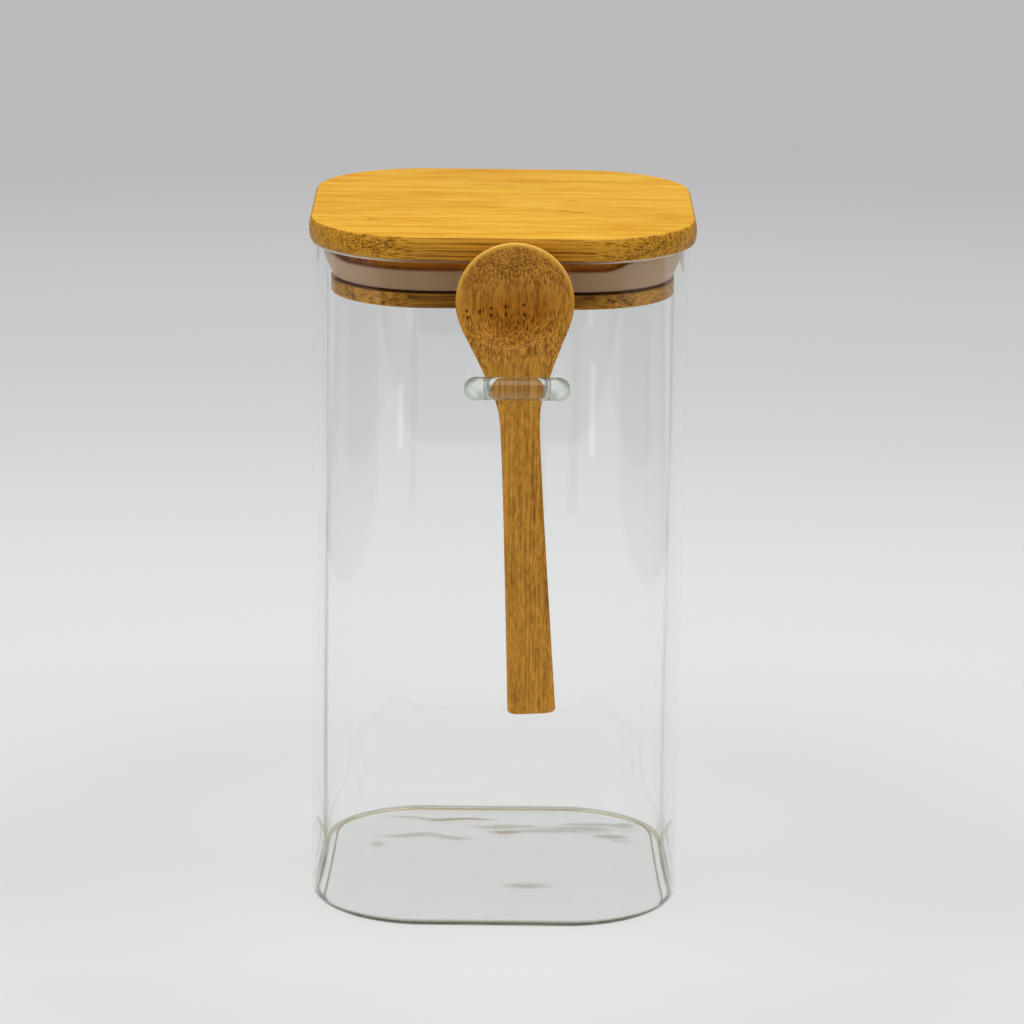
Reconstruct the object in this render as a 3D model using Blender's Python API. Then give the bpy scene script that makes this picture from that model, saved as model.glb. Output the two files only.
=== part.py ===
"""Square glass pantry jar with a bamboo lid, a silicone seal and a bamboo spoon hung in a glass loop.

Metres, +Z up, origin at the middle of the underside of the glass. The loop and the spoon are at the
front, which is -Y. The lid, with its plug and seal, lifts off upwards. The spoon lifts out of its loop.
"""

import math

import bmesh
import bpy
from mathutils import Matrix, Vector

MM = 0.001

# Gap left between pieces that touch on the real jar
GAP = 0.3 * MM

# Glass body: blown square jar with well rounded corners
BODY_WIDTH = 97.2 * MM
BODY_HEIGHT = 178.0 * MM
BODY_CORNER_RADIUS = 29.1 * MM
WALL = 1.2 * MM
FLOOR = 2.0 * MM
HEEL_RADIUS = 3.0 * MM
INNER_HEEL_RADIUS = 3.4 * MM

# Spoon loop: glass rod bent to a U, both feet melted on to the front wall, rising a little to the front
ROD_DIAMETER = 5.8 * MM
LOOP_BEND_RADIUS = 5.6 * MM
LOOP_BELOW_RIM = 32.9 * MM
LOOP_OFFSET = 4.6 * MM
LOOP_RISE = math.radians(12.5)
FOOT_DIAMETER = 6.7 * MM
FOOT_LENGTH = 2.4 * MM
FOOT_MIDDLE_SHARE = 0.25

# Lid board: bamboo panel that rests on the rim, with swelling sides
BOARD_WIDTH = 100.0 * MM
BOARD_CORNER_RADIUS = 29.8 * MM
BOARD_THICKNESS = 5.6 * MM
BOARD_TOP_INSET = 0.9 * MM
BOARD_LOWER_INSET = 0.7 * MM
BOARD_WIDEST_SHARE = 0.5

# Lid plug: bamboo block glued under the board, with a groove for the seal
PLUG_CLEARANCE = 3.1 * MM
PLUG_FLANGE_HEIGHT = 3.6 * MM
SEAL_GROOVE_HEIGHT = 6.0 * MM
SEAL_GROOVE_DEPTH = 3.4 * MM
PLUG_PLATE_HEIGHT = 3.7 * MM
PLUG_EDGE_RADIUS = 0.5 * MM

# The lid lies this far to the right of the middle, where the seal gives way
LID_OFF_MIDDLE = 0.6 * MM

# Seal: silicone ring with a band in the groove and a lip that flares up to the glass
SEAL_BAND = 1.3 * MM
SEAL_LIP = 1.0 * MM
SEAL_ROOT_HEIGHT = 1.6 * MM
SEAL_ROOT_INSET = 2.7 * MM
SEAL_REVEAL = 0.75 * MM
SEAL_EDGE_RADIUS = 0.4 * MM

# Spoon: one piece of bamboo, round bowl, waisted neck, handle that widens to its end
SPOON_LENGTH = 123.1 * MM
BOWL_WIDTH = 29.8 * MM
BOWL_DEPTH = 5.4 * MM
BOWL_WALL = 2.2 * MM
BOWL_LIP_WIDTH = 1.1 * MM
BOWL_LIP_THICKNESS = 2.0 * MM
FLANK_ANGLE = math.radians(22.5)
FLANK_BLEND = 1.6 * MM
NECK_WIDTH = 9.4 * MM
HANDLE_END_WIDTH = 12.3 * MM
HANDLE_END_RADIUS = 1.1 * MM
HANDLE_WIDENING_POWER = 1.25
HANDLE_THICKNESS = 4.6 * MM
HANDLE_EDGE_RADIUS = 1.0 * MM
LIP_FORWARD = 2.0 * MM
LIP_RUN_OUT = 12.0 * MM
HANDLE_SQUARENESS = 6
BOWL_SQUARENESS = 2
BOWL_PLUMPNESS = 0.7
SPOON_TILT = math.radians(2.9)

# How the spoon hangs in its loop
SPOON_BESIDE_LOOP_MIDDLE = 0.4 * MM
HANDLE_SIDE_CLEARANCE = 1.0 * MM
HANDLE_FRONT_CLEARANCE = 3.0 * MM
BOWL_BEHIND_CLEARANCE = 0.7 * MM
CONTACT_STEP_DEGREES = 2
CONTACT_PRECISION = 0.003 * MM

# Facets
CORNER_STEPS = 10
ROUND_STEPS = 4
BEND_STEPS = 6
BOWL_STEPS = 12
FLANK_STEPS = 12
HANDLE_STEPS = 8
END_STEPS = 3
ACROSS_STEPS = 14
HOLLOW_SEGMENTS = 48
BOWL_TIP_ANGLE = math.radians(87)
ROD_RESOLUTION = 4
EDGE_STEPS = 2
SHARP_EDGE_ANGLE = math.radians(35)

# Worked out from the sizes above
BODY_HALF = BODY_WIDTH / 2
CAVITY_HALF = BODY_HALF - WALL
BOARD_HALF = BOARD_WIDTH / 2
BOARD_UNDERSIDE = BODY_HEIGHT + GAP
PLUG_TOP = BOARD_UNDERSIDE - GAP
PLUG_HALF = CAVITY_HALF - PLUG_CLEARANCE
CORE_HALF = PLUG_HALF - SEAL_GROOVE_DEPTH
GROOVE_TOP = PLUG_TOP - PLUG_FLANGE_HEIGHT
GROOVE_BOTTOM = GROOVE_TOP - SEAL_GROOVE_HEIGHT
PLUG_BOTTOM = GROOVE_BOTTOM - PLUG_PLATE_HEIGHT
BOWL_RADIUS = BOWL_WIDTH / 2
HOLLOW_RADIUS = BOWL_RADIUS - BOWL_LIP_WIDTH
FLANK_TOP = -BOWL_RADIUS * math.sin(FLANK_ANGLE)
FLANK_TOP_HALF = BOWL_RADIUS * math.cos(FLANK_ANGLE)
FLANK_END = FLANK_TOP - (FLANK_TOP_HALF - NECK_WIDTH / 2) / math.tan(FLANK_ANGLE)
HANDLE_END = BOWL_RADIUS - SPOON_LENGTH
LIP_PLANE = -HANDLE_THICKNESS / 2 - LIP_FORWARD
BOWL_BACK = LIP_PLANE + BOWL_DEPTH + BOWL_WALL
SPOON_OUT = max(BOARD_HALF, BODY_HALF) - BODY_HALF + BOWL_BEHIND_CLEARANCE + BOWL_BACK
BAR_OUT = SPOON_OUT + HANDLE_THICKNESS / 2 + HANDLE_FRONT_CLEARANCE + ROD_DIAMETER / 2
HALF_SLOT = HANDLE_END_WIDTH / 2 + HANDLE_SIDE_CLEARANCE + SPOON_BESIDE_LOOP_MIDDLE
ARM_OUT = HALF_SLOT + ROD_DIAMETER / 2
LOOP_HEIGHT = BODY_HEIGHT - LOOP_BELOW_RIM


def ease(t):
    """Smooth step from 0 to 1."""
    t = min(max(t, 0), 1)
    return t * t * (3 - 2 * t)


def arc(centre_x, centre_z, radius_x, radius_z, start_degrees, end_degrees, steps=ROUND_STEPS):
    """Points on an elliptical arc of a profile, both ends included."""
    points = []
    for step in range(steps + 1):
        angle = math.radians(start_degrees + (end_degrees - start_degrees) * step / steps)
        points.append((centre_x + radius_x * math.cos(angle), centre_z + radius_z * math.sin(angle)))
    return points


def rounded_square(half, corner_radius, middle):
    """Points round a square of this half width with rounded corners, anticlockwise from above."""
    straight = half - corner_radius
    points = []
    for quarter in range(4):
        turn = Matrix.Rotation(quarter * math.pi / 2, 3, "Z")
        for step in range(CORNER_STEPS + 1):
            angle = math.pi / 2 * step / CORNER_STEPS
            corner = Vector((straight, straight, 0))
            reach = Vector((math.cos(angle), math.sin(angle), 0)) * corner_radius
            points.append(turn @ (corner + reach) + middle)
    return points


def plain_material(name, colour, roughness, transmission=0, ior=1.45):
    material = bpy.data.materials.new(name)
    material.use_nodes = True
    shader = material.node_tree.nodes["Principled BSDF"]
    shader.inputs["Base Color"].default_value = (*colour, 1)
    shader.inputs["Roughness"].default_value = roughness
    shader.inputs["Metallic"].default_value = 0
    shader.inputs["Transmission Weight"].default_value = transmission
    shader.inputs["IOR"].default_value = ior
    return material


def add_piece(name, mesh_or_curve, material, collection):
    piece = bpy.data.objects.new(name, mesh_or_curve)
    piece.data.materials.append(material)
    collection.objects.link(piece)
    return piece


def lofted_mesh(name, loops, closed_on_itself=False):
    """A skin over loops that all have the same number of points, capped unless the last meets the first."""
    builder = bmesh.new()
    rows = [[builder.verts.new(point) for point in loop] for loop in loops]
    pairs = list(zip(rows, rows[1:]))
    if closed_on_itself:
        pairs.append((rows[-1], rows[0]))
    else:
        builder.faces.new(rows[0])
        builder.faces.new(rows[-1])
    for lower, upper in pairs:
        for i in range(len(lower)):
            j = (i + 1) % len(lower)
            builder.faces.new((lower[i], lower[j], upper[j], upper[i]))
    bmesh.ops.recalc_face_normals(builder, faces=builder.faces)
    mesh = bpy.data.meshes.new(name)
    builder.to_mesh(mesh)
    builder.free()
    mesh.shade_smooth()
    mesh.set_sharp_from_angle(angle=SHARP_EDGE_ANGLE)
    return mesh


def swept_round_square(name, profile, outer_half, corner_radius, off_middle=0, closed_on_itself=False):
    """A profile of (half width, height) points carried round a rounded square.

    The corners stay concentric: a point set in from outer_half takes as much off the corner radius.
    off_middle moves the loops along X, by one value or by one for each point of the profile.
    """
    shifts = off_middle if isinstance(off_middle, list) else [off_middle] * len(profile)
    loops = []
    for (half, height), shift in zip(profile, shifts):
        radius = corner_radius - (outer_half - half)
        loops.append(rounded_square(half, radius, Vector((shift, 0, height))))
    return lofted_mesh(name, loops, closed_on_itself)


# The blown jar: one wall from the underside, up over the fire-polished rim and down to the floor
def glass_body_mesh():
    rim_radius = WALL / 2
    rim_middle = BODY_HALF - rim_radius
    profile = arc(BODY_HALF - HEEL_RADIUS, HEEL_RADIUS, HEEL_RADIUS, HEEL_RADIUS, -90, 0)
    profile += arc(rim_middle, BODY_HEIGHT - rim_radius, rim_radius, rim_radius, 0, 180, 2 * ROUND_STEPS)
    heel = INNER_HEEL_RADIUS
    profile += arc(CAVITY_HALF - heel, FLOOR + heel, heel, heel, 0, -90)
    return swept_round_square("glass_body", profile, BODY_HALF, BODY_CORNER_RADIUS)


# The loop: a rod that leaves the wall, bends round in front of the spoon and comes back
def loop_curve():
    arm = ARM_OUT
    bar = BAR_OUT / math.cos(LOOP_RISE)
    bend = LOOP_BEND_RADIUS
    foot_start = GAP + FOOT_DIAMETER / 2 * math.tan(LOOP_RISE)
    half_path = [(arm, foot_start), (arm, foot_start + FOOT_LENGTH / 2), (arm, foot_start + FOOT_LENGTH)]
    for step in range(BEND_STEPS + 1):
        angle = math.pi / 2 * step / BEND_STEPS
        half_path.append((arm - bend + bend * math.cos(angle), bar - bend + bend * math.sin(angle)))
    path = half_path + [(-x, out) for x, out in reversed(half_path)]
    flare = FOOT_DIAMETER / ROD_DIAMETER
    flares = [flare, 1 + (flare - 1) * FOOT_MIDDLE_SHARE] + [1] * (len(half_path) - 2)
    flares += list(reversed(flares))
    curve = bpy.data.curves.new("spoon_loop", "CURVE")
    curve.dimensions = "3D"
    curve.bevel_depth = ROD_DIAMETER / 2
    curve.bevel_resolution = ROD_RESOLUTION
    curve.use_fill_caps = True
    spline = curve.splines.new("POLY")
    spline.points.add(len(path) - 1)
    for point, (x, out), swell in zip(spline.points, path, flares):
        point.co = (x, -out, 0, 1)
        point.radius = swell
    return curve


# The board: flat faces, sides that swell to the full width and draw in again above the rim
def lid_board_mesh():
    widest = BOARD_UNDERSIDE + BOARD_THICKNESS * BOARD_WIDEST_SHARE
    below = widest - BOARD_UNDERSIDE
    above = BOARD_UNDERSIDE + BOARD_THICKNESS - widest
    lower_arc = arc(BOARD_HALF - BOARD_LOWER_INSET, widest, BOARD_LOWER_INSET, below, -90, 0)
    upper_arc = arc(BOARD_HALF - BOARD_TOP_INSET, widest, BOARD_TOP_INSET, above, 0, 90)
    profile = lower_arc + upper_arc[1:]
    return swept_round_square("lid_board", profile, BOARD_HALF, BOARD_CORNER_RADIUS, LID_OFF_MIDDLE)


# The plug: flange, groove and plate milled in one block that drops into the mouth of the jar
def lid_plug_mesh():
    edge = PLUG_EDGE_RADIUS
    profile = arc(PLUG_HALF - edge, PLUG_BOTTOM + edge, edge, edge, -90, 0, EDGE_STEPS)
    profile += [(PLUG_HALF, GROOVE_BOTTOM), (CORE_HALF, GROOVE_BOTTOM)]
    profile += [(CORE_HALF, GROOVE_TOP), (PLUG_HALF, GROOVE_TOP), (PLUG_HALF, PLUG_TOP)]
    return swept_round_square("lid_plug", profile, BODY_HALF, BODY_CORNER_RADIUS, LID_OFF_MIDDLE)


# The seal: band round the core, root at its foot, and a lip that rises outwards to the glass. The band
# and the root follow the plug, and the lip's edge follows the glass.
def seal_ring_mesh():
    band_inside = CORE_HALF + GAP
    band_outside = band_inside + SEAL_BAND
    top = GROOVE_TOP - GAP
    bottom = GROOVE_BOTTOM + SEAL_REVEAL
    lip_tip = CAVITY_HALF - GAP
    root_outside = lip_tip - SEAL_ROOT_INSET
    edge = SEAL_EDGE_RADIUS
    channel = bottom + SEAL_ROOT_HEIGHT
    band = [(band_inside, bottom), (band_inside, top), (band_outside, top), (band_outside, channel)]
    band.append((root_outside - SEAL_LIP, channel))
    lip = [(lip_tip - SEAL_LIP, top)] + arc(lip_tip - edge, top - edge, edge, edge, 90, 0, EDGE_STEPS)
    root = arc(root_outside - edge, bottom + edge, edge, edge, 0, -90, EDGE_STEPS)
    profile = band + lip + root
    shifts = [LID_OFF_MIDDLE] * len(band) + [0] * len(lip) + [LID_OFF_MIDDLE] * len(root)
    return swept_round_square(
        "seal_ring", profile, BODY_HALF, BODY_CORNER_RADIUS, shifts, closed_on_itself=True
    )


def spoon_half_width(height):
    """Half width of the spoon at a height above the middle of its bowl: round, straight flank, handle."""
    if height >= FLANK_TOP:
        return math.sqrt(max(BOWL_RADIUS**2 - height**2, 0))
    flank = FLANK_TOP_HALF - (FLANK_TOP - height) * math.tan(FLANK_ANGLE)
    along = max(FLANK_END - height, 0) / (FLANK_END - HANDLE_END)
    side = (NECK_WIDTH + (HANDLE_END_WIDTH - NECK_WIDTH) * along**HANDLE_WIDENING_POWER) / 2
    return (flank + side + math.hypot(flank - side, FLANK_BLEND)) / 2


# The uncarved spoon, lofted from its end to the tip of the bowl. Depth 0 is the middle of the handle,
# and depth grows towards the back.
def spoon_section(height, half_width):
    bowl_share = ease(1 - (FLANK_TOP - height) / LIP_RUN_OUT)
    front = -HANDLE_THICKNESS / 2 - LIP_FORWARD * bowl_share
    plumpness = 1 + (BOWL_PLUMPNESS - 1) * bowl_share
    length_fullness = max(1 - (max(height, 0) / BOWL_RADIUS) ** 2, 0) ** plumpness
    edge_thickness = HANDLE_THICKNESS - HANDLE_EDGE_RADIUS
    edge_thickness += (BOWL_LIP_THICKNESS - edge_thickness) * bowl_share
    full_thickness = HANDLE_THICKNESS + (BOWL_DEPTH + BOWL_WALL - HANDLE_THICKNESS) * bowl_share
    edge_round = HANDLE_EDGE_RADIUS * (1 - bowl_share)
    squareness = HANDLE_SQUARENESS + (BOWL_SQUARENESS - HANDLE_SQUARENESS) * bowl_share
    front_points = []
    back_points = []
    for step in range(ACROSS_STEPS + 1):
        across = -math.cos(math.pi * step / ACROSS_STEPS)
        x = half_width * across
        swell = max(1 - abs(across) ** squareness, 0) ** plumpness
        thickness = edge_thickness + (full_thickness - edge_thickness) * swell * length_fullness
        front_points.append(Vector((x, front + edge_round * abs(across) ** squareness, height)))
        back_points.append(Vector((x, front + thickness, height)))
    return front_points + list(reversed(back_points))


def spoon_blank_mesh():
    loops = []
    corner = HANDLE_END_RADIUS
    for step in range(END_STEPS + 1):
        angle = math.pi / 2 * step / END_STEPS
        height = HANDLE_END + corner * (1 - math.cos(angle))
        loops.append(spoon_section(height, spoon_half_width(height) - corner * (1 - math.sin(angle))))
    handle_start = HANDLE_END + corner
    flank_start = FLANK_END - LIP_RUN_OUT / 2
    handle_step = (flank_start - handle_start) / HANDLE_STEPS
    flank_step = (FLANK_TOP - flank_start) / FLANK_STEPS
    heights = [handle_start + handle_step * (i + 1) for i in range(HANDLE_STEPS)]
    heights += [flank_start + flank_step * (i + 1) for i in range(FLANK_STEPS)]
    for step in range(1, BOWL_STEPS + 1):
        angle = -FLANK_ANGLE + (BOWL_TIP_ANGLE + FLANK_ANGLE) * step / BOWL_STEPS
        heights.append(BOWL_RADIUS * math.sin(angle))
    loops += [spoon_section(height, spoon_half_width(height)) for height in heights]
    return lofted_mesh("spoon", loops)


# The ball that carves the hollow of the bowl: it meets the lip's plane in a circle
def hollow_cutter_mesh():
    ball_radius = (HOLLOW_RADIUS**2 + BOWL_DEPTH**2) / (2 * BOWL_DEPTH)
    builder = bmesh.new()
    turn = Matrix.Rotation(math.pi / 2, 4, "X")
    shift = Matrix.Translation((0, LIP_PLANE + BOWL_DEPTH - ball_radius, 0))
    place = shift @ turn
    segments = HOLLOW_SEGMENTS
    bmesh.ops.create_uvsphere(
        builder, u_segments=segments, v_segments=segments, radius=ball_radius, matrix=place
    )
    mesh = bpy.data.meshes.new("bowl_cutter")
    builder.to_mesh(mesh)
    builder.free()
    return mesh


def spoon_seat(tilt):
    """How far the bowl's middle is above the loop, along the spoon, when the flanks rest on its arms."""
    reach = ROD_DIAMETER / 2 + GAP
    arm_height = SPOON_OUT * math.tan(LOOP_RISE)
    seat = 0
    for side in (-1, 1):
        arm = tilt.inverted() @ Vector((side * ARM_OUT - SPOON_BESIDE_LOOP_MIDDLE, 0, arm_height))
        for degrees in range(0, 90, CONTACT_STEP_DEGREES):
            angle = math.radians(degrees)
            clear_half = side * arm.x - reach * math.cos(angle)
            low, high = FLANK_END, 0
            while high - low > CONTACT_PRECISION:
                middle = (low + high) / 2
                if spoon_half_width(middle) < clear_half:
                    low = middle
                else:
                    high = middle
            seat = max(seat, arm.z + reach * math.sin(angle) - low)
    return seat


def main():
    for old in list(bpy.data.objects):
        bpy.data.objects.remove(old)
    jar = bpy.data.collections.new("pantry_jar")
    bpy.context.scene.collection.children.link(jar)

    glass = plain_material("clear_glass", (0.94, 0.97, 0.95), 0.02, transmission=1, ior=1.47)
    silicone = plain_material("frosted_silicone", (0.50, 0.42, 0.37), 0.5, transmission=0.2, ior=1.41)
    lid_bamboo = plain_material("lid_bamboo", (0.75, 0.42, 0.09), 0.45)
    spoon_bamboo = plain_material("spoon_bamboo", (0.52, 0.28, 0.07), 0.5)

    add_piece("glass_body", glass_body_mesh(), glass, jar)
    loop = add_piece("spoon_loop", loop_curve(), glass, jar)
    loop.location = (LOOP_OFFSET, -BODY_HALF, LOOP_HEIGHT)
    loop.rotation_euler.x = -LOOP_RISE

    lid = bpy.data.objects.new("lid", None)
    jar.objects.link(lid)
    pieces = (
        ("lid_board", lid_board_mesh(), lid_bamboo),
        ("lid_plug", lid_plug_mesh(), lid_bamboo),
        ("seal_ring", seal_ring_mesh(), silicone),
    )
    for name, mesh, material in pieces:
        piece = add_piece(name, mesh, material, jar)
        piece.parent = lid

    spoon = add_piece("spoon", spoon_blank_mesh(), spoon_bamboo, jar)
    tilt = Matrix.Rotation(-SPOON_TILT, 3, "Y")
    across_loop = Vector((LOOP_OFFSET + SPOON_BESIDE_LOOP_MIDDLE, -BODY_HALF - SPOON_OUT, LOOP_HEIGHT))
    spoon.location = across_loop + tilt @ Vector((0, 0, spoon_seat(tilt)))
    spoon.rotation_euler = tilt.to_euler()
    cutters = bpy.data.collections.new("cutters")
    bpy.context.scene.collection.children.link(cutters)
    cutter = bpy.data.objects.new("bowl_cutter", hollow_cutter_mesh())
    cutters.objects.link(cutter)
    cutter.parent = spoon
    cutter.hide_render = True
    cutter.display_type = "WIRE"
    carve = spoon.modifiers.new("carve", "BOOLEAN")
    carve.operation = "DIFFERENCE"
    carve.object = cutter
    bpy.context.view_layer.update()


main()
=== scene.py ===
import math

import bmesh
import bpy
from mathutils import Matrix, Vector, noise


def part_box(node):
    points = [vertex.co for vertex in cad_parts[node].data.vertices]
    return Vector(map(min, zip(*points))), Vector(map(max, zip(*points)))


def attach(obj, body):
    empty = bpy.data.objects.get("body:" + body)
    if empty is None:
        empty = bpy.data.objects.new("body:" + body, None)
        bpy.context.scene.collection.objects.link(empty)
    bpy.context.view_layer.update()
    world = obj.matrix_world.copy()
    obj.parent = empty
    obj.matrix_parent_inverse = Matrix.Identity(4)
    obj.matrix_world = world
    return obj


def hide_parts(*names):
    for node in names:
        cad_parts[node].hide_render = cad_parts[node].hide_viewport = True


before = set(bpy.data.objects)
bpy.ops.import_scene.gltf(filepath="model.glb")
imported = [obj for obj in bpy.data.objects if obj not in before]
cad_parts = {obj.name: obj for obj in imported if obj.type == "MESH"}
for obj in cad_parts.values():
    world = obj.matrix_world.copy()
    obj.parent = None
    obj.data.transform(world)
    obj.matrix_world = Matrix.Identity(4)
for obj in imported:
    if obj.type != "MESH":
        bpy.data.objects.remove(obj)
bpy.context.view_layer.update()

MM = 0.001

# The view: one long lens a little over a metre from the jar, looking down on the lid, so that the
# sides of the jar run almost parallel. The camera leans by less than a degree.
LENS_MM = 157.75
SENSOR_MM = 36
CAMERA_PLACE = Vector((0, -1.158, 0.4004))
CAMERA_PITCH = math.radians(14.537)
CAMERA_PAN = math.radians(0.19)
CAMERA_ROLL = math.radians(0.684)

camera = bpy.data.objects.new("camera", bpy.data.cameras.new("camera"))
bpy.context.scene.collection.objects.link(camera)
camera.data.sensor_width = SENSOR_MM
camera.data.lens = LENS_MM
turn = Matrix.Rotation(-CAMERA_PAN, 4, "Z") @ Matrix.Rotation(math.pi / 2 - CAMERA_PITCH, 4, "X")
camera.matrix_world = Matrix.Translation(CAMERA_PLACE) @ turn @ Matrix.Rotation(CAMERA_ROLL, 4, "Z")
bpy.context.scene.camera = camera


# The jar: borosilicate glass blown into a square mould. It has a rounded heel, a floor left a little
# uneven inside and a rim that is ground matt. Its wall is a good millimetre thick and nearly clear.
WALL = 1.05 * MM
FLOOR = 1.5 * MM
GLASS_CORNER_RADIUS = 29.1 * MM
HEEL_RADIUS = 3.0 * MM
INNER_HEEL_RADIUS = 0.7 * MM
GROUND_RIM = 0.65 * MM
PUSH_UP = 0.3 * MM
PUSH_UP_WIDTH = 40 * MM
WALL_WAVE = 0.06 * MM
WALL_WAVE_LENGTH = 26 * MM
FLOOR_WAVE = 0.10 * MM
FLOOR_WAVE_LENGTH = 9 * MM
WAVE_STRETCH = 3
LEAST_CORNER_SHARE = 0.6
INNERMOST_HALF = 1.05 * MM
CORNER_STEPS = 20
SIDE_STEPS = 18
HEEL_STEPS = 12
INNER_HEEL_STEPS = 10
RIM_STEPS = 16
WALL_STEPS = 70
FLOOR_STEPS = 60
glass_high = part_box("glass_body")[1]
JAR_HALF = glass_high.x
JAR_HEIGHT = glass_high.z

# The colours of the glass, with painted shade where it is seen edge on, round the floor and in the heel.
# Each pair of numbers holds where a colour starts and where it is full.
GLASS_IOR = 1.47
CLEAR = (0.995, 1, 0.998, 1)
GRAZING = (0.86, 0.99)
GRAZING_PAINTED_SHADE = (0.45, 0.55, 0.50, 1)
LOOP_FROM = (-JAR_HALF - 0.3 * MM, -JAR_HALF - 0.8 * MM)
LOOP_TINT = (0.87, 0.90, 0.84, 1)
LOOP_EDGE = (0.30, 0.85)
LOOP_EDGE_PAINTED_SHADE = (0.18, 0.22, 0.15, 1)
INSIDE_WALL = (GLASS_CORNER_RADIUS - WALL * 0.5, GLASS_CORNER_RADIUS - WALL * 0.7)
FLOOR_FROM = (FLOOR * 0.5, FLOOR * 0.6)
FLOOR_TO = (FLOOR + 2 * MM, FLOOR + MM)
FLOOR_LINE_PAINTED_SHADE = (0.34, 0.36, 0.26, 1)
WALL_FOOT_LINE_OUT = (GLASS_CORNER_RADIUS - WALL - 1.2 * MM, GLASS_CORNER_RADIUS - WALL - 0.8 * MM)
WALL_FOOT_LINE_FROM = (FLOOR + 0.08 * MM, FLOOR + 0.2 * MM)
WALL_FOOT_LINE_TO = (FLOOR + 0.8 * MM, FLOOR + 0.55 * MM)
FLOOR_LINE_HALF_X = 44.6 * MM
FLOOR_LINE_HALF_Y = 46.9 * MM
FLOOR_LINE_RADIUS = 22.5 * MM
FLOOR_LINE_WIDTH = (0.42 * MM, 0.168 * MM)
FLOOR_LINE_TO = (FLOOR + 0.6 * MM, FLOOR + 0.45 * MM)
HEEL_PAINTED_SHADE = (0.45, 0.33, 0.13, 1)
HEEL_TO = (1.3 * MM, 0.7 * MM)
HEEL_OUT = (GLASS_CORNER_RADIUS - HEEL_RADIUS + 0.4 * MM, GLASS_CORNER_RADIUS - HEEL_RADIUS + 1.0 * MM)
RIPPLE = 7 * MM
RIPPLE_LENGTH = 16 * MM
MARKS_STRONGER = 1.5
FLOOR_MARK_FADE = (1.0, 0.0)
# Marks of each colour: x, y, half length and half width in mm, and strength.
FLOOR_MARKS = (
    ((0.44, 0.47, 0.36, 1), (
        (-22.0, 38.8, 13.0, 1.8, 1.0), (-23.0, 22.5, 13.0, 2.8, 1.0), (4.0, 30.5, 15.0, 2.6, 1.0),
        (17.0, 27.0, 15.0, 3.0, 1.1), (27.0, 33.5, 13.0, 2.6, 1.1), (24.0, 30.0, 14.0, 2.2, 1.0),
        (-32.5, 15.0, 3.5, 5.0, 0.6), (9.0, -18.5, 10.0, 3.4, 0.8), (-12.0, 20.5, 10.0, 2.4, 0.8),
        (33.0, 24.0, 7.0, 4.0, 0.9), (37.0, 33.0, 5.0, 3.0, 0.9),
    )),
    ((0.30, 0.185, 0.065, 1), (
        (-10.0, 37.0, 14.0, 2.0, 1.4), (3.5, 26.3, 8.0, 2.4, 0.8), (29.5, 28.5, 6.5, 2.4, 0.3),
        (33.0, 24.5, 7.0, 3.0, 0.35), (36.0, 20.0, 6.0, 2.6, 0.25), (38.5, 29.5, 4.5, 2.2, 0.2),
    )),
)
SHADOW_TINT = (0.985, 0.99, 0.987, 1)
DEPTH_TINT = (0.45, 0.60, 0.42, 1)
DEPTH_DENSITY = 9
RIM_FRONT_PAINTED_SHADE = (0.36, 0.27, 0.19, 1)
RIM_ENDS_PAINTED_LIGHT = (0.95, 1, 0.93, 1)
RIM_ENDS_PAINTED_LIGHT_FROM = (20 * MM, 36 * MM)


class Shade:
    """One output of a shader node. Sums on it add Math nodes to its material."""

    def __init__(self, tree, socket=None):
        self.tree = tree
        self.socket = socket

    def node(self, kind, settings=None, values=None, output=0):
        made = self.tree.nodes.new("ShaderNode" + kind)
        for name, value in (settings or {}).items():
            if name == "stops":
                elements = made.color_ramp.elements
                while len(elements) < len(value):
                    elements.new(1)
                for element, (position, colour) in zip(elements, value):
                    element.position = position
                    element.color = colour
            else:
                setattr(made, name, value)
        for name, value in (values or {}).items():
            if isinstance(value, Shade):
                value.into(made, name)
            else:
                made.inputs[name].default_value = value
        return Shade(self.tree, made.outputs[output])

    def into(self, node, name):
        self.tree.links.new(self.socket, node.inputs[name])

    def math(self, operation, *values):
        return self.node("Math", {"operation": operation}, dict(enumerate(values)))

    def __add__(self, other):
        return self.math("ADD", self, other)

    def __sub__(self, other):
        return self.math("SUBTRACT", self, other)

    def __rsub__(self, other):
        return self.math("SUBTRACT", other, self)

    def __mul__(self, other):
        return self.math("MULTIPLY", self, other)

    def __truediv__(self, other):
        return self.math("DIVIDE", self, other)

    def __abs__(self):
        return self.math("ABSOLUTE", self)

    __radd__ = __add__
    __rmul__ = __mul__

    def larger(self, other):
        return self.math("MAXIMUM", self, other)

    def vector(self, operation, *values, output=0):
        return self.node("VectorMath", {"operation": operation}, dict(enumerate((self, *values))), output)

    def length(self):
        return self.vector("LENGTH", output="Value")

    def axis(self, index):
        return self.node("SeparateXYZ", values={0: self}, output=index)

    def between(self, start, full):
        """0 up to start and 1 past full, smooth between them. Full may be the lower one."""
        settings = {"interpolation_type": "SMOOTHSTEP"}
        return self.node("MapRange", settings, {"Value": self, "From Min": start, "From Max": full})

    def uneven(self, scale, detail=2, roughness=0.5):
        """Noise round 0 over this place."""
        values = {"Vector": self, "Scale": scale, "Detail": detail, "Roughness": roughness}
        return self.node("TexNoise", values=values) - 0.5

    def mix(self, first, second):
        """first where this is 0, second where it is 1, for colours."""
        return self.node("Mix", {"data_type": "RGBA"}, {0: self, 6: first, 7: second}, output=2)


def principled(name, **constants):
    """A material with these constant inputs, its shader, and the place in the piece's own frame."""
    material = bpy.data.materials.new(name)
    material.use_nodes = True
    shader = material.node_tree.nodes["Principled BSDF"]
    for label, value in constants.items():
        shader.inputs[label.replace("_", " ")].default_value = value
    return material, shader, Shade(material.node_tree).node("TexCoord", output="Object")


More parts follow.
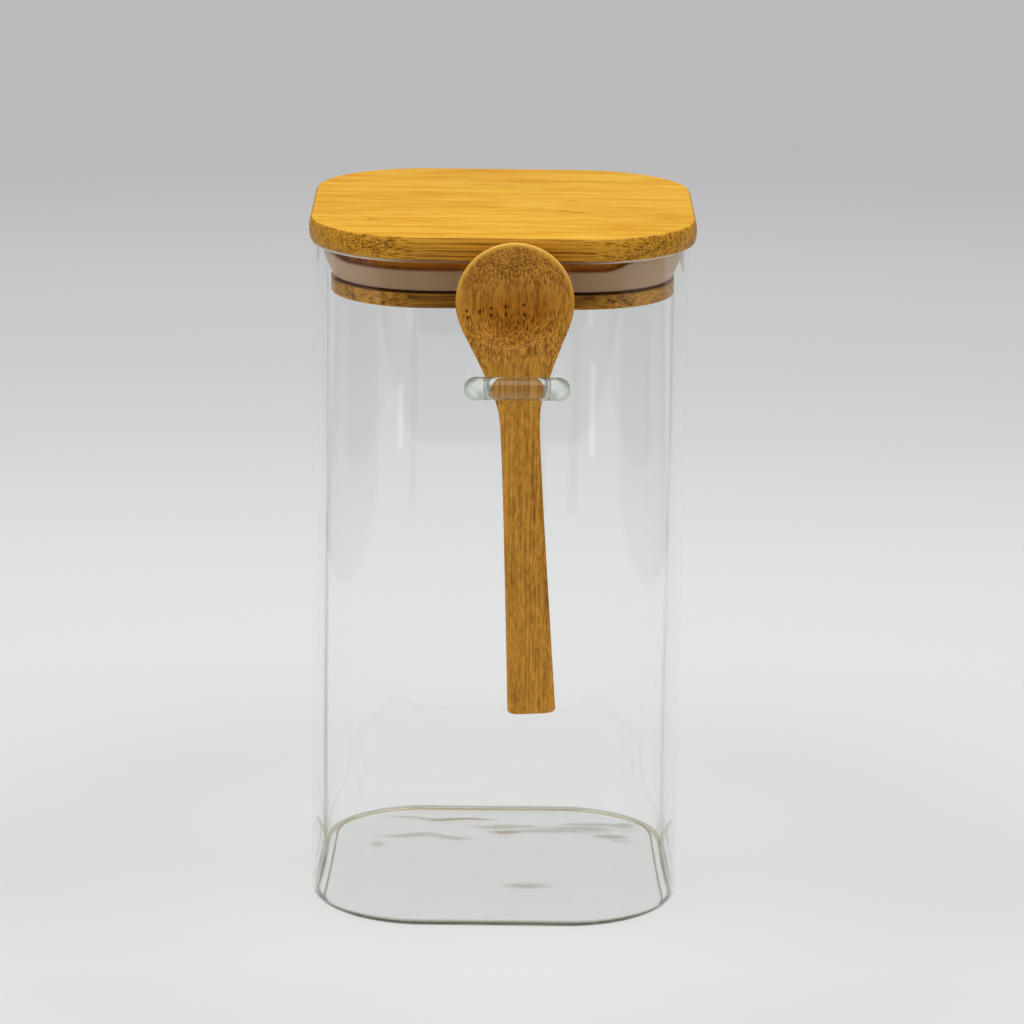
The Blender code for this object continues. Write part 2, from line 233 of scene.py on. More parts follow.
def lay_over(material, shader, share, other):
    """Shows another shader in place of a material's own where share is 1."""
    own = Shade(material.node_tree, shader.outputs[0])
    mixed = share.node("MixShader", values={0: share, 1: own, 2: other})
    mixed.into(material.node_tree.nodes["Material Output"], "Surface")


def away_from(place, middle, scale):
    """The distance from a middle, each axis taken by its scale."""
    return place.vector("SUBTRACT", middle).vector("MULTIPLY", scale).length()


def oval(place, x, y, half_length, half_width):
    """The distance from the middle of an oval seen from above, 1 at its edge. Sizes are in mm."""
    return away_from(place, (x * MM, y * MM, 0), (1 / (half_length * MM), 1 / (half_width * MM), 0))


def past_corners(place, half_x, half_y, radius):
    """The distance out from the corners' middles of a rounded rectangle, its radius at the edge."""
    # The 1 takes the height out of the distance, because nothing here stands a metre tall.
    middle = (half_x - radius, half_y - radius, 1)
    return place.vector("ABSOLUTE").vector("SUBTRACT", middle).vector("MAXIMUM", (0, 0, 0)).length()


def arc(centre_x, centre_z, radius_x, radius_z, start_degrees, end_degrees, steps):
    points = []
    for step in range(steps + 1):
        angle = math.radians(start_degrees + (end_degrees - start_degrees) * step / steps)
        points.append((centre_x + radius_x * math.cos(angle), centre_z + radius_z * math.sin(angle)))
    return points


def line(start, end, steps):
    """Points between two profile points, both left out."""
    return [tuple(a + (b - a) * i / steps for a, b in zip(start, end)) for i in range(1, steps)]


def eased(rise, share):
    """A rise that starts and ends softly, for a share that may run past 0 or 1."""
    share = min(max(share, 0), 1)
    return rise * share * share * (3 - 2 * share)


def rounded_square(half, radius, height, shift=0):
    """Points round a square with rounded corners, the straight sides divided too."""
    straight = half - radius
    points = []
    for quarter in range(4):
        turned = Matrix.Rotation(quarter * math.pi / 2, 3, "Z")
        for step in range(SIDE_STEPS):
            side = Vector((half, straight * (2 * step / SIDE_STEPS - 1), 0))
            points.append(turned @ side)
        for step in range(CORNER_STEPS):
            angle = math.pi / 2 * step / CORNER_STEPS
            corner = Vector((straight, straight, 0))
            points.append(turned @ (corner + Vector((math.cos(angle), math.sin(angle), 0)) * radius))
    return [point + Vector((shift, 0, height)) for point in points]


def swept(profile, outer_half, corner_radius, shift=0):
    """Loops for (half width, height) points. Corners stay concentric while they are wide enough."""
    loops = []
    for half, height in profile:
        radius = max(corner_radius - (outer_half - half), half * LEAST_CORNER_SHARE)
        loops.append(rounded_square(half, radius, height, shift))
    return loops


def skin(name, loops, ring=False):
    """A mesh over loops of equal length. Unless it is a ring, each end closes on its middle point."""
    builder = bmesh.new()
    rows = [[builder.verts.new(point) for point in loop] for loop in loops]
    pairs = list(zip(rows, rows[1:]))
    if ring:
        pairs.append((rows[-1], rows[0]))
    else:
        for row in (rows[0], rows[-1]):
            middle = builder.verts.new(sum((vert.co for vert in row), Vector()) / len(row))
            for i in range(len(row)):
                builder.faces.new((row[i], row[i - 1], middle))
    for lower, upper in pairs:
        for i in range(len(lower)):
            builder.faces.new((lower[i - 1], lower[i], upper[i], upper[i - 1]))
    bmesh.ops.recalc_face_normals(builder, faces=builder.faces)
    mesh = bpy.data.meshes.new(name)
    builder.to_mesh(mesh)
    builder.free()
    mesh.shade_smooth()
    return mesh


def add_piece(name, mesh, material, body, slot, *nodes):
    piece = bpy.data.objects.new(name, mesh)
    bpy.context.scene.collection.objects.link(piece)
    piece.data.materials.append(material)
    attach(piece, body)
    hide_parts(*nodes)
    return piece


def push_up(half):
    """How far the underside is pushed up at this distance from the middle."""
    return eased(PUSH_UP, (JAR_HALF - HEEL_RADIUS - half) / PUSH_UP_WIDTH)


def glass_profile():
    """From the middle of the underside out, up the outside, over the rim, down and in to the middle."""
    inner = JAR_HALF - WALL
    inner_heel = INNER_HEEL_RADIUS
    half_wall = WALL / 2
    ground = JAR_HEIGHT - GROUND_RIM
    heel = arc(JAR_HALF - HEEL_RADIUS, HEEL_RADIUS, HEEL_RADIUS, HEEL_RADIUS, -90, 0, HEEL_STEPS)
    rim = arc(JAR_HALF - half_wall, JAR_HEIGHT - half_wall, half_wall, half_wall, 0, 180, RIM_STEPS)
    inside = arc(inner - inner_heel, FLOOR + inner_heel, inner_heel, inner_heel, 0, -90, INNER_HEEL_STEPS)
    under = [(INNERMOST_HALF, 0)] + line((INNERMOST_HALF, 0), heel[0], FLOOR_STEPS)
    floor = line(inside[-1], (INNERMOST_HALF, FLOOR), FLOOR_STEPS) + [(INNERMOST_HALF, FLOOR)]
    profile = [(half, push_up(half)) for half, height in under] + heel
    profile += line(heel[-1], (JAR_HALF, ground), WALL_STEPS) + [(JAR_HALF, ground)]
    profile += rim + [(inner, ground)] + line((inner, ground), inside[0], WALL_STEPS) + inside
    profile += [(half, height + push_up(half)) for half, height in floor]
    return profile


glass_loops = swept(glass_profile(), JAR_HALF, GLASS_CORNER_RADIUS)
for loop in glass_loops:
    for point in loop:
        if max(abs(point.x), abs(point.y)) >= JAR_HALF - WALL / 2 or point.z <= FLOOR / 2:
            continue
        if point.z > FLOOR + PUSH_UP + INNER_HEEL_RADIUS:
            spot = Vector((point.x, point.y, point.z / WAVE_STRETCH))
            wave = noise.noise(spot / WALL_WAVE_LENGTH) * WALL_WAVE
            point += Vector((point.x, point.y, 0)).normalized() * wave
        else:
            spot = Vector((point.x / WAVE_STRETCH, point.y, 0))
            point.z += noise.noise(spot / FLOOR_WAVE_LENGTH) * FLOOR_WAVE

glass, glass_shader, glass_place = principled(
    "clear_glass", Roughness=0.0, IOR=GLASS_IOR, Transmission_Weight=1
)
glass_height = glass_place.axis(2)
# Painted shade: the walls and the loop turn darker where they are seen edge on, for the dark outlines of
# the glass.
turned_away = glass_place.node("LayerWeight", values={"Blend": 0.5}, output="Facing")
wall_with_painted_edge_shade = turned_away.between(*GRAZING).mix(CLEAR, GRAZING_PAINTED_SHADE)
loop_tint_with_painted_edge_shade = turned_away.between(*LOOP_EDGE).mix(LOOP_TINT, LOOP_EDGE_PAINTED_SHADE)
glass_tint_and_painted_shade = glass_place.axis(1).between(*LOOP_FROM).mix(wall_with_painted_edge_shade, loop_tint_with_painted_edge_shade)

# Painted shade: a dark line at the foot of the wall inside and another round the floor, for the edge of
# the floor that the glass shows dark.
out = past_corners(glass_place, JAR_HALF, JAR_HALF, GLASS_CORNER_RADIUS)
inside = out.between(*INSIDE_WALL)
wall_foot_painted_shade = glass_height.between(*WALL_FOOT_LINE_FROM) * glass_height.between(*WALL_FOOT_LINE_TO) * inside * out.between(*WALL_FOOT_LINE_OUT)
floor_line_out = past_corners(glass_place, FLOOR_LINE_HALF_X, FLOOR_LINE_HALF_Y, FLOOR_LINE_RADIUS)
floor_line_painted_shade = abs(floor_line_out - FLOOR_LINE_RADIUS).between(*FLOOR_LINE_WIDTH) * inside
floor_line_painted_shade = floor_line_painted_shade * glass_height.between(*FLOOR_LINE_TO)
glass_tint_and_painted_shade = wall_foot_painted_shade.larger(floor_line_painted_shade).mix(glass_tint_and_painted_shade, FLOOR_LINE_PAINTED_SHADE)
# Painted shade: a brown band low in the heel all round.
heel_painted_shade = glass_height.between(*HEEL_TO) * out.between(*HEEL_OUT)
glass_tint_and_painted_shade = heel_painted_shade.mix(glass_tint_and_painted_shade, HEEL_PAINTED_SHADE)

on_floor = inside * glass_height.between(*FLOOR_FROM) * glass_height.between(*FLOOR_TO)
ripple = glass_place.uneven(1 / RIPPLE_LENGTH, detail=1) * RIPPLE
ripple = glass_place.node("CombineXYZ", values={0: 0, 1: ripple, 2: 0})
rippled = glass_place.vector("ADD", ripple)
for tint, marks in FLOOR_MARKS:
    patches = sum(
        oval(rippled, *place).between(*FLOOR_MARK_FADE) * (strength * MARKS_STRONGER)
        for *place, strength in marks
    )
    glass_tint_and_painted_shade = (patches * on_floor).mix(glass_tint_and_painted_shade, tint)
glass_tint_and_painted_shade.into(glass_shader, "Base Color")

# Light reaches what stands in or behind the jar straight through the glass, only a little weaker.
shadow_ray = glass_place.node("LightPath", output="Is Shadow Ray")
diffuse_ray = glass_place.node("LightPath", output="Is Diffuse Ray")
see_through = glass_place.node("BsdfTransparent", values={"Color": SHADOW_TINT})
lay_over(glass, glass_shader, shadow_ray.larger(diffuse_ray), see_through)
depth_tint = glass_place.node("VolumeAbsorption", values={"Color": DEPTH_TINT, "Density": DEPTH_DENSITY})
depth_tint.into(glass.node_tree.nodes["Material Output"], "Volume")
jar = add_piece(
    "jar_glass", skin("jar_glass", glass_loops), glass, "jar", "clear_glass", "glass_body", "spoon_loop"
)

# The ground rim's colour is painted: brown shade across the front under the board, and pale painted light
# at the ends.
ground_glass, ground_shader, ground_place = principled("ground_glass", Roughness=0.6, IOR=GLASS_IOR)
rim_painted_light_and_shade = abs(ground_place.axis(0)).between(*RIM_ENDS_PAINTED_LIGHT_FROM).mix(RIM_FRONT_PAINTED_SHADE, RIM_ENDS_PAINTED_LIGHT)
rim_painted_light_and_shade.into(ground_shader, "Base Color")
jar.data.materials.append(ground_glass)
for face in jar.data.polygons:
    if face.center.z > JAR_HEIGHT - GROUND_RIM:
        face.material_index = 1


# The loop that holds the spoon: a glass rod bent to a U while hot, with both feet melted on to the
# front wall, and rising a little towards the front. It and the jar are one piece of glass.
ROD_RADIUS = 2.9 * MM
LOOP_BEND_RADIUS = 5.6 * MM
LOOP_RISE = math.radians(12.5)
LOOP_MIDDLE = Vector((4.6, -48.6, 145.1)) * MM
ARM_OUT = 10.45 * MM
BAR_OUT = 13.6 * MM
FOOT_FLARE = 0.5 * MM
FOOT_LENGTH = 2.4 * MM
FOOT_SUNK = 0.75 * MM
FOOT_STEPS = 8
BEND_STEPS = 24
ROD_SIDES = 48
FOOT_EDGE_ANGLE = math.radians(25)


def loop_mesh():
    bend_x, bend_out = ARM_OUT - LOOP_BEND_RADIUS, BAR_OUT - LOOP_BEND_RADIUS
    half_path = [(ARM_OUT, FOOT_LENGTH * step / FOOT_STEPS) for step in range(FOOT_STEPS + 1)]
    half_path += arc(bend_x, bend_out, LOOP_BEND_RADIUS, LOOP_BEND_RADIUS, 0, 90, BEND_STEPS)
    path = [Vector((x, -out, 0)) for x, out in half_path]
    path += [Vector((0, -BAR_OUT, 0))] + [Vector((-point.x, point.y, 0)) for point in reversed(path)]
    tilt = Matrix.Rotation(-LOOP_RISE, 3, "X")
    loops = []
    for i, point in enumerate(path):
        ahead = (path[min(i + 1, len(path) - 1)] - path[max(i - 1, 0)]).normalized()
        across = Vector((0, 0, 1))
        side = ahead.cross(across)
        near_foot = max(0, 1 + point.y / FOOT_LENGTH)
        radius = ROD_RADIUS + FOOT_FLARE * (1 - math.sqrt(1 - near_foot**2))
        ring = []
        for step in range(ROD_SIDES):
            angle = 2 * math.pi * step / ROD_SIDES
            place = tilt @ (point + (across * math.cos(angle) + side * math.sin(angle)) * radius)
            if i in (0, len(path) - 1):
                place.y = FOOT_SUNK
            ring.append(LOOP_MIDDLE + place)
        loops.append(ring)
    return skin("spoon_loop", loops)


rod = bpy.data.objects.new("rod", loop_mesh())
bpy.context.scene.collection.objects.link(rod)
fusing = jar.modifiers.new("fusing", "BOOLEAN")
fusing.operation = "UNION"
fusing.solver = "EXACT"
fusing.object = rod
fused = bpy.data.meshes.new_from_object(jar.evaluated_get(bpy.context.evaluated_depsgraph_get()))
jar.modifiers.remove(fusing)
fused.set_sharp_from_angle(angle=FOOT_EDGE_ANGLE)
jar.data = fused
bpy.data.objects.remove(rod)


# The lid's board: a panel of laminated bamboo strips, cut with rounded corners, sanded to swelling
# sides and oiled. The fibres run from left to right and show as dots where the corners cut them.
LID_SHIFT = 0.6 * MM
BOARD_HALF = 50 * MM
BOARD_CORNER_RADIUS = 29.8 * MM
BOARD_TOP_INSET = 0.9 * MM
BOARD_LOWER_INSET = 0.7 * MM
BOARD_SINKS = 0.25 * MM
BOARD_EDGE_STEPS = 12
FIBRE_STRETCH = 0.05
FIBRE_SCALE = 900
BAND_SCALE = 170
FIBRE_DETAIL = 3
FIBRE_ROUGHNESS = 0.6
BUNDLE_SPACING = 0.58 * MM
BUNDLE_UNEVEN = 0.8
BUNDLE_EDGE = (0.5, 0.12)
GRAIN_BEND = 0.9 * MM
GRAIN_BEND_LENGTH = 30 * MM
TOP_STREAK = (0.1, 1, 1)
TOP_STREAK_SCALE = 400
TOP_STREAK_DETAIL = 4
TOP_STREAK_ROUGHNESS = 0.75
TOP_TURN = (0.75, 0.97)
LID_PALE = (0.85, 0.485, 0.045, 1)
LID_DARK = (0.70, 0.315, 0.010, 1)
LID_SIDE_PAINTED_SHADE_PALE = (0.72, 0.345, 0.030, 1)
LID_SIDE_PAINTED_SHADE_DARK = (0.22, 0.085, 0.006, 1)
LID_MARK = (0.36, 0.13, 0.006, 1)
# The amount of each pattern in the grain, and last how dark the wood is without them.
LID_TOP_GRAIN = (4.2, 1.5, 0.5)
LID_MARK_GRAIN = (4, 0.6)
LID_SIDE_GRAIN = (2.6, 1.0, 0.7, 0.1)
LID_MARK_FADE = (1.0, 0.1)
# Node marks on the top: x, y, half length and half width in mm.
LID_MARKS = (
    (19.4, 3.0, 5.0, 1.5), (21.0, -13.6, 4.5, 0.9), (16.5, -11.5, 3.0, 0.7), (-17.2, 7.9, 5.0, 0.9),
    (-33.0, -25.3, 3.2, 0.9), (-34.0, -22.5, 3.0, 0.5), (-8.0, 36.4, 13.0, 0.7), (1.0, 22.2, 6.0, 0.7),
    (-2.9, -6.9, 5.5, 0.7), (40.2, -5.0, 0.5, 0.8), (43.5, -20.7, 7.0, 0.5), (-46.0, -22.7, 1.9, 0.6),
)
board_low, board_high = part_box("lid_board")


def bamboo(name, fibres, bundle_spacing):
    """Oiled bamboo without its colour, and three patterns of its grain. Fibres run along X or Z."""
    material, shader, place = principled(name, Roughness=0.42, Specular_IOR_Level=0.1)
    along = "XYZ".index(fibres)
    bend = place.node("TexNoise", values={"Vector": place, "Scale": 1 / GRAIN_BEND_LENGTH}, output="Color")
    bend = bend.vector("SUBTRACT", (0.5, 0.5, 0.5)).vector("MULTIPLY", (GRAIN_BEND,) * 3)
    bent = place.vector("ADD", bend)
    grain = bent.vector("MULTIPLY", tuple(FIBRE_STRETCH if axis == along else 1 for axis in range(3)))
    fine = grain.uneven(FIBRE_SCALE, FIBRE_DETAIL, FIBRE_ROUGHNESS)
    bands = grain.uneven(BAND_SCALE, FIBRE_DETAIL, FIBRE_ROUGHNESS)
    cut_axes = [bent.axis(axis) for axis in range(3) if axis != along]
    cut = place.node("CombineXYZ", values=dict(enumerate(cut_axes)))
    bundles = {"Vector": cut, "Scale": 1 / bundle_spacing, "Randomness": BUNDLE_UNEVEN}
    dots = place.node("TexVoronoi", {"voronoi_dimensions": "2D"}, bundles).between(*BUNDLE_EDGE)
    return material, shader, place, fine, bands, dots


def darkness(patterns, amounts):
    """The sum of patterns, each by its amount, and the last amount on its own."""
    return sum(pattern * amount for pattern, amount in zip(patterns, amounts)) + amounts[-1]


board_bottom = board_low.z - BOARD_SINKS
board_widest = (board_low.z + board_high.z) / 2
lower_side = arc(
    BOARD_HALF - BOARD_LOWER_INSET, board_widest, BOARD_LOWER_INSET, board_widest - board_bottom,
    -90, 0, BOARD_EDGE_STEPS,
)
upper_side = arc(
    BOARD_HALF - BOARD_TOP_INSET, board_widest, BOARD_TOP_INSET, board_high.z - board_widest,
    0, 90, BOARD_EDGE_STEPS,
)
board_loops = swept(lower_side + upper_side[1:], BOARD_HALF, BOARD_CORNER_RADIUS, LID_SHIFT)

lid_bamboo, lid_shader, lid_place, lid_fine, lid_bands, lid_dots = bamboo(
    "lid_bamboo", "X", BUNDLE_SPACING
)
flat = lid_place.node("NewGeometry", output="Normal").axis(2).between(*TOP_TURN)
marks = sum(oval(lid_place, *mark).between(*LID_MARK_FADE) for mark in LID_MARKS)
streaks = lid_place.vector("MULTIPLY", TOP_STREAK)
streaks = streaks.uneven(TOP_STREAK_SCALE, TOP_STREAK_DETAIL, TOP_STREAK_ROUGHNESS)
lid_flat = darkness((streaks, lid_bands), LID_TOP_GRAIN).mix(LID_PALE, LID_DARK)
lid_flat = (marks * darkness((streaks,), LID_MARK_GRAIN)).mix(lid_flat, LID_MARK)
# Painted shade: the sides take much darker colours than the top, for the light falling from above. Their
# dots are the cut fibres.
lid_side_grain_and_painted_shade = darkness((lid_fine, lid_bands, lid_dots), LID_SIDE_GRAIN).mix(LID_SIDE_PAINTED_SHADE_PALE, LID_SIDE_PAINTED_SHADE_DARK)
flat.mix(lid_side_grain_and_painted_shade, lid_flat).into(lid_shader, "Base Color")
add_piece("bamboo_board", skin("bamboo_board", board_loops), lid_bamboo, "lid", "lid_bamboo", "lid_board")


# The plug: a bamboo block glued under the board. A flange, a groove for the seal and a plate are
# milled in it, and it drops into the mouth of the jar.
# Painted light and shade: the plug takes darker colours than the board as painted shade, its plate is
# lighter at the ends as painted light, and its flange above the groove is brighter and more orange as
# painted light.
PLUG_PAINTED_SHADE_PALE = (0.52, 0.225, 0.018, 1)
PLUG_END_PAINTED_LIGHT = (0.78, 0.37, 0.055, 1)
PLUG_PAINTED_SHADE_DARK = (0.12, 0.040, 0.002, 1)
PLUG_GRAIN = (1.8, 1.8, 0.4, 0.2)
PLUG_END_FROM = (18 * MM, 32 * MM)
FLANGE_PAINTED_LIGHT_PALE = (0.85, 0.34, 0.020, 1)
FLANGE_PAINTED_LIGHT_DARK = (0.30, 0.085, 0.002, 1)
FLANGE_FROM = (174.2 * MM, 174.3 * MM)
plug_bamboo_painted_shade, plug_shader, plug_place, plug_fine, plug_bands, plug_dots = bamboo(
    "plug_bamboo_painted_shade", "X", BUNDLE_SPACING
)
plug_tone = darkness((plug_fine, plug_bands, plug_dots), PLUG_GRAIN)
plug_pale_and_painted_light = abs(plug_place.axis(0)).between(*PLUG_END_FROM).mix(PLUG_PAINTED_SHADE_PALE, PLUG_END_PAINTED_LIGHT)
plate_painted_shade_and_light = plug_tone.mix(plug_pale_and_painted_light, PLUG_PAINTED_SHADE_DARK)
flange_painted_light = plug_tone.mix(FLANGE_PAINTED_LIGHT_PALE, FLANGE_PAINTED_LIGHT_DARK)
plug_painted_light_and_shade = plug_place.axis(2).between(*FLANGE_FROM).mix(plate_painted_shade_and_light, flange_painted_light)
plug_painted_light_and_shade.into(plug_shader, "Base Color")
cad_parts["lid_plug"].data.materials[0] = plug_bamboo_painted_shade


# The seal: a moulded silicone ring, frosted and translucent. Its band sits in the plug's groove, and
# its lip leans out to the glass and is bent up further at both sides of the jar.
SEAL_CORNER_RADIUS = 27.6 * MM
SEAL_BAND_HALF = 41.2 * MM
SEAL_ROOT_HALF = 44.0 * MM
SEAL_LIP_FOOT = 44.8 * MM
SEAL_LIP_HALF = 46.5 * MM
SEAL_LIP = 0.9 * MM
SEAL_LIP_UP = 0.9 * MM
SEAL_ROUND = 0.4 * MM
SEAL_ROUND_STEPS = 6
SEAL_SIDE_STEPS = 8
# Where the lip starts to bend up, where it is fully up, and by how much, in mm.
LIP_BENT_UP = ((27, 35, 2.3), (-38, -45, 1.7))
SEAL_FRONT_PAINTED_SHADE = (0.62, 0.38, 0.205, 1)
SEAL_ENDS_PAINTED_LIGHT = (0.86, 0.58, 0.36, 1)
SEAL_ENDS_PAINTED_LIGHT_FROM = (22 * MM, 44 * MM)
seal_low, seal_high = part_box("seal_ring")


def seal_section():
    """Half width, height, and how far each point goes up with the lip."""
    lip_top = seal_high.z + SEAL_LIP_UP
    rounds = (SEAL_ROUND, SEAL_ROUND)
    root = arc(SEAL_ROOT_HALF - SEAL_ROUND, seal_low.z + SEAL_ROUND, *rounds, 0, -90, SEAL_ROUND_STEPS)
    tip = arc(SEAL_LIP_HALF - SEAL_ROUND, lip_top - SEAL_ROUND, *rounds, 90, 0, SEAL_ROUND_STEPS)
    band = [(SEAL_BAND_HALF, seal_low.z), (SEAL_BAND_HALF, seal_high.z), (SEAL_LIP_FOOT, seal_high.z)]
    lip = [(SEAL_LIP_HALF - SEAL_LIP, lip_top)] + tip
    section = [(half, height, 0) for half, height in band] + [(half, height, 1) for half, height in lip]
    for half, height in line(tip[-1], root[0], SEAL_SIDE_STEPS):
        section.append((half, height, max(0, (height - seal_low.z) / (lip_top - seal_low.z)) ** 2))
    return section + [(half, height, 0) for half, height in root]


seal_loops = []
for half, height, follows in seal_section():
    seal_loops.append(rounded_square(half, SEAL_CORNER_RADIUS - (SEAL_LIP_HALF - half), height, LID_SHIFT))
    for point in seal_loops[-1]:
        for start, end, up in LIP_BENT_UP:
            point.z += eased(follows * up * MM, (point.x / MM - start) / (end - start))

silicone, silicone_shader, silicone_place = principled(
    "silicone", Roughness=0.5, IOR=1.41, Transmission_Weight=0.3
)
# The seal's colour is painted: brown across the front for the bamboo showing through it in shade, and
# paler painted light towards the ends.
seal_painted_light_and_shade = abs(silicone_place.axis(0)).between(*SEAL_ENDS_PAINTED_LIGHT_FROM).mix(SEAL_FRONT_PAINTED_SHADE, SEAL_ENDS_PAINTED_LIGHT)
seal_painted_light_and_shade.into(silicone_shader, "Base Color")
seal_mesh = skin("silicone_seal", seal_loops, ring=True)
add_piece("silicone_seal", seal_mesh, silicone, "lid", "silicone", "seal_ring")


# The spoon: carved from one strip of bamboo, with its fibres along the handle. A ball cutter hollows
# the bowl, where cut ends of fibres show as dark specks, and the edge left round it is sanded. Painted
# shade darkens the lower middle of the bowl, and a painted highlight lightens the top of its edge.
SPOON_BUNDLE_SPACING = 0.50 * MM
MOTTLE_SCALE = 1500
MOTTLE_STRETCH = (1, 1, 0.3)
SPOON_PALE = (0.75, 0.350, 0.048, 1)
SPOON_DARK = (0.23, 0.082, 0.006, 1)
SPOON_LIP_PAINTED_HIGHLIGHT = (0.93, 0.50, 0.085, 1)
SPOON_SPECK = (0.03, 0.010, 0.001, 1)
SPOON_GRAIN = (1.3, 1.0, 1.3, 1, 0.18)
CUT_ACROSS = (0.0, 0.35)
CUT_DOTS = 0.45
LEAST_DOTS = 0.3
BOWL_MIDDLE = Vector((3.8, 0, 169.3)) * MM
BOWL_PAINTED_SHADE = (0.78, 0.64, 0.38)
BOWL_PAINTED_SHADE_WITHIN = (13 * MM, 6.5 * MM)
BOWL_PAINTED_SHADE_UNDER = (5 * MM, -3 * MM)
LIP_OUTSIDE = (14.0 * MM, 14.7 * MM)
LIP_OVER = (-4 * MM, 9 * MM)
SPECK_WITHIN = (0.6 * MM, 0.2 * MM)
SPECK_STRENGTH = 0.85
# Specks in the bowl: x and z in mm.
SPECKS = (
    (-8.3, 166.8), (-8.0, 165.1), (-2.2, 166.9), (-2.1, 165.2), (1.5, 167.2), (1.6, 165.4), (6.1, 167.7),
    (6.2, 165.2), (-5.0, 166.3),
)
FROM_FRONT = (1, 0, 1)
spoon_bamboo, spoon_shader, spoon_place, spoon_fine, spoon_bands, spoon_dots = bamboo(
    "spoon_bamboo", "Z", SPOON_BUNDLE_SPACING
)
cut_across = abs(spoon_place.node("NewGeometry", output="Normal").axis(2)).between(*CUT_ACROSS)
spoon_dots = spoon_dots * (cut_across * CUT_DOTS + LEAST_DOTS)
mottle = spoon_place.vector("MULTIPLY", MOTTLE_STRETCH).uneven(MOTTLE_SCALE)
spoon_colour = darkness((spoon_fine, spoon_bands, mottle, spoon_dots), SPOON_GRAIN)
spoon_colour = spoon_colour.mix(SPOON_PALE, SPOON_DARK)
from_middle = away_from(spoon_place, BOWL_MIDDLE, FROM_FRONT)
over_middle = spoon_place.axis(2) - BOWL_MIDDLE.z
# Painted shade: the lower middle of the bowl is darker and redder.
bowl_painted_shade_mask = from_middle.between(*BOWL_PAINTED_SHADE_WITHIN) * over_middle.between(*BOWL_PAINTED_SHADE_UNDER)
spoon_colour = bowl_painted_shade_mask.mix(spoon_colour, spoon_colour.vector("MULTIPLY", BOWL_PAINTED_SHADE))
# Painted highlight: the top of the bowl's edge is lighter, where light from above would catch it.
lip = from_middle.between(*LIP_OUTSIDE) * over_middle.between(*LIP_OVER)
spoon_colour = lip.mix(spoon_colour, SPOON_LIP_PAINTED_HIGHLIGHT)
specks = sum(
    away_from(spoon_place, (x * MM, 0, z * MM), FROM_FRONT).between(*SPECK_WITHIN) for x, z in SPECKS
)
spoon_colour = (specks * SPECK_STRENGTH).mix(spoon_colour, SPOON_SPECK)
spoon_colour.into(spoon_shader, "Base Color")
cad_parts["spoon"].data.materials[0] = spoon_bamboo


# The floor and its light: a plain pale sheet under one large soft box, with weaker ones to the sides.
# Two small cards low in front, and darker parts of the sheet that only mirrored rays see, draw the
# lines in the glass.
STAGE_RADIUS = 3.0
STAGE_SIDES = 96
STAGE_TONES_START = -0.15
STAGE_TONES = (
    (-0.12, 0.775), (-0.08, 0.785), (-0.03, 0.746), (0.004, 0.733), (0.054, 0.757), (0.10, 0.765),
    (0.26, 0.765), (0.34, 0.75), (0.42, 0.72), (0.52, 0.684), (0.62, 0.664), (0.74, 0.667),
)
LESS_RED = 0.998
MORE_BLUE = 1.004
UNDER_JAR = (0, -0.01, 0)
UNDER_JAR_WITHIN = (0.15, 0.03)
UNDER_JAR_PAINTED_LIGHT = (1.19, 1.19, 1.19)
MIRRORED = (0.2, 0.8)
FRONT_FROM = (-0.575, -0.595)
FRONT_DARK = (0.03, 0.03, 0.03, 1)
ASIDE_FROM = (0.36, 0.38)
ASIDE_TO = (0.18, 0.16)
ASIDE_DARK = (0.28, 0.28, 0.28, 1)
GAP_START = math.tan(math.radians(34))
GAP_END = math.tan(math.radians(48))
GAP_INNER = 0.93
GAP_OUTER = 1.07
HAZE = (0.49, 0.49, 0.495, 1)
HAZE_FROM = (0.85, 1.25)
ROOM = (0.2, 0.2, 0.2, 1)
# Each lamp: its place, what it points at, its width, height and watts.
SOFT_BOXES = (
    ("top_box", (0, 0.0, 1.5), (0, 0.0, 0), 2.2, 2.2, 31),
    ("left_box", (-1.2, -0.7, 0.8), (0, 0, 0.1), 0.5, 1.0, 0.6),
    ("right_box", (1.3, -0.5, 0.7), (0, 0, 0.1), 0.4, 1.0, 0.4),
    ("left_card", (-0.180, -0.394, 0.047), (0, 0, 0.14), 0.034, 0.022, 0.0030),
    ("right_card", (0.154, -0.404, 0.050), (0, 0, 0.14), 0.034, 0.032, 0.0042),
)
BOUNCES = 32
GLOSSY_BOUNCES = 24

stage_builder = bmesh.new()
bmesh.ops.create_circle(stage_builder, cap_ends=True, radius=STAGE_RADIUS, segments=STAGE_SIDES)
stage_mesh = bpy.data.meshes.new("table")
stage_builder.to_mesh(stage_mesh)
stage_builder.free()
stage = bpy.data.objects.new("table", stage_mesh)
bpy.context.scene.collection.objects.link(stage)

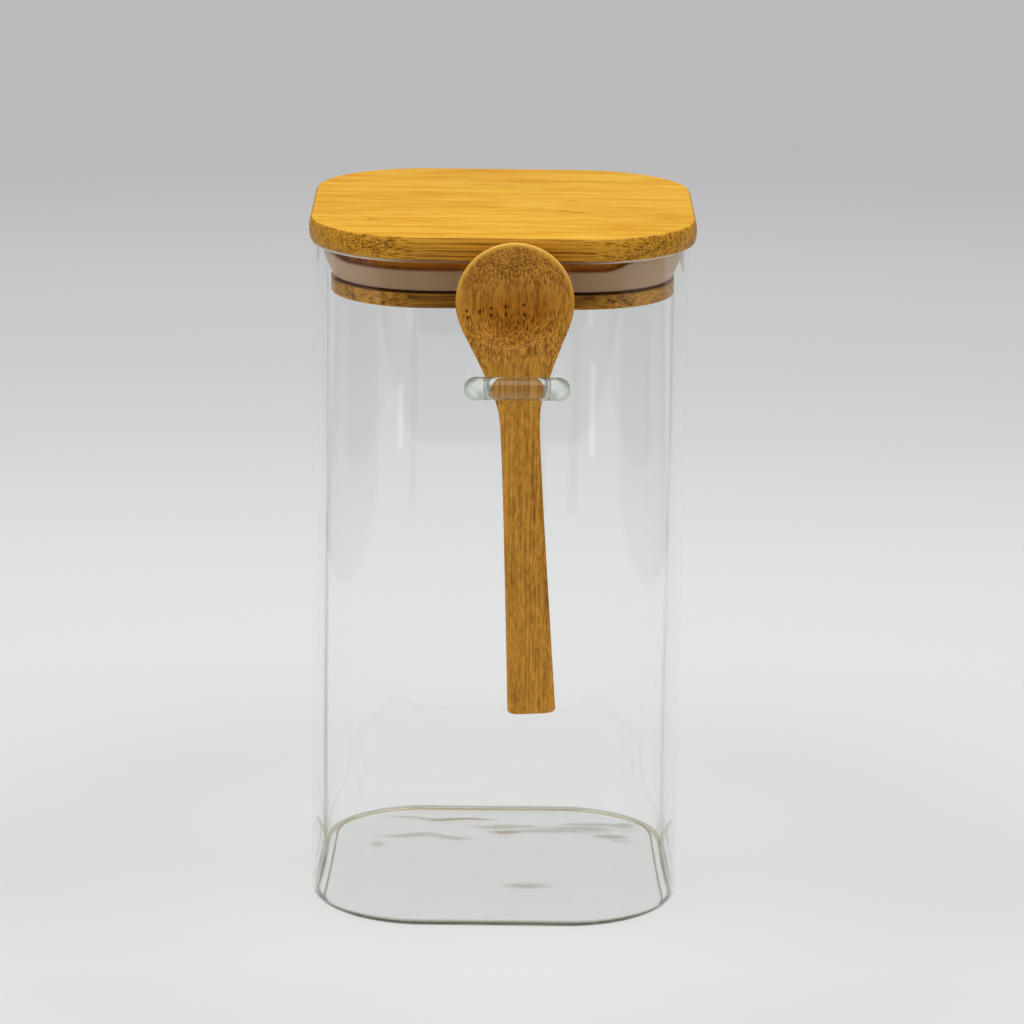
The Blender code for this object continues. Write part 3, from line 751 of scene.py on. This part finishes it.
paper, paper_shader, spot = principled("paper", Roughness=0.9, Specular_IOR_Level=0.1)
depth = spot.axis(1)
sideways = abs(spot.axis(0))
stops = [
    (y - STAGE_TONES_START, (tone * LESS_RED, tone, tone * MORE_BLUE, 1)) for y, tone in STAGE_TONES
]
tone = spot.node("ValToRGB", {"stops": stops}, {0: depth - STAGE_TONES_START})
# Painted light: the sheet is lighter round the jar's foot, which thins the jar's shadow.
painted_light_near_jar = spot.vector("DISTANCE", UNDER_JAR, output="Value").between(*UNDER_JAR_WITHIN)
tone = painted_light_near_jar.mix(tone, tone.vector("MULTIPLY", UNDER_JAR_PAINTED_LIGHT))
mirrored = spot.node("LightPath", output="Glossy Depth").between(*MIRRORED)
slant = sideways / (0 - depth)
gap = slant.between(GAP_START * GAP_INNER, GAP_START * GAP_OUTER)
gap = gap * slant.between(GAP_END * GAP_OUTER, GAP_END * GAP_INNER)
aside = sideways.between(*ASIDE_FROM) * depth.between(*ASIDE_TO) * (1 - gap) * mirrored
in_front = depth.between(*FRONT_FROM) * mirrored
tone = in_front.mix(aside.mix(tone, ASIDE_DARK), FRONT_DARK)
tone.into(paper_shader, "Base Color")
haze = spot.length().between(*HAZE_FROM) * (1 - in_front.larger(aside))
lay_over(paper, paper_shader, haze, spot.node("Emission", values={"Color": HAZE}))
stage_mesh.materials.append(paper)

for name, place, target, width, height, power in SOFT_BOXES:
    light = bpy.data.lights.new(name, "AREA")
    light.shape = "RECTANGLE"
    light.size = width
    light.size_y = height
    light.energy = power
    lamp = bpy.data.objects.new(name, light)
    bpy.context.scene.collection.objects.link(lamp)
    lamp.location = place
    lamp.rotation_euler = (Vector(target) - Vector(place)).to_track_quat("-Z", "Y").to_euler()

world = bpy.data.worlds.new("world")
bpy.context.scene.world = world
world.use_nodes = True
camera_ray = Shade(world.node_tree).node("LightPath", output="Is Camera Ray")
through_glass = camera_ray.node("LightPath", output="Is Transmission Ray")
air = (camera_ray + through_glass).mix(ROOM, HAZE)
air.into(world.node_tree.nodes["Background"], "Color")

bpy.context.scene.view_settings.view_transform = "Standard"
bpy.context.scene.cycles.max_bounces = BOUNCES
bpy.context.scene.cycles.glossy_bounces = GLOSSY_BOUNCES
bpy.context.scene.cycles.transmission_bounces = BOUNCES
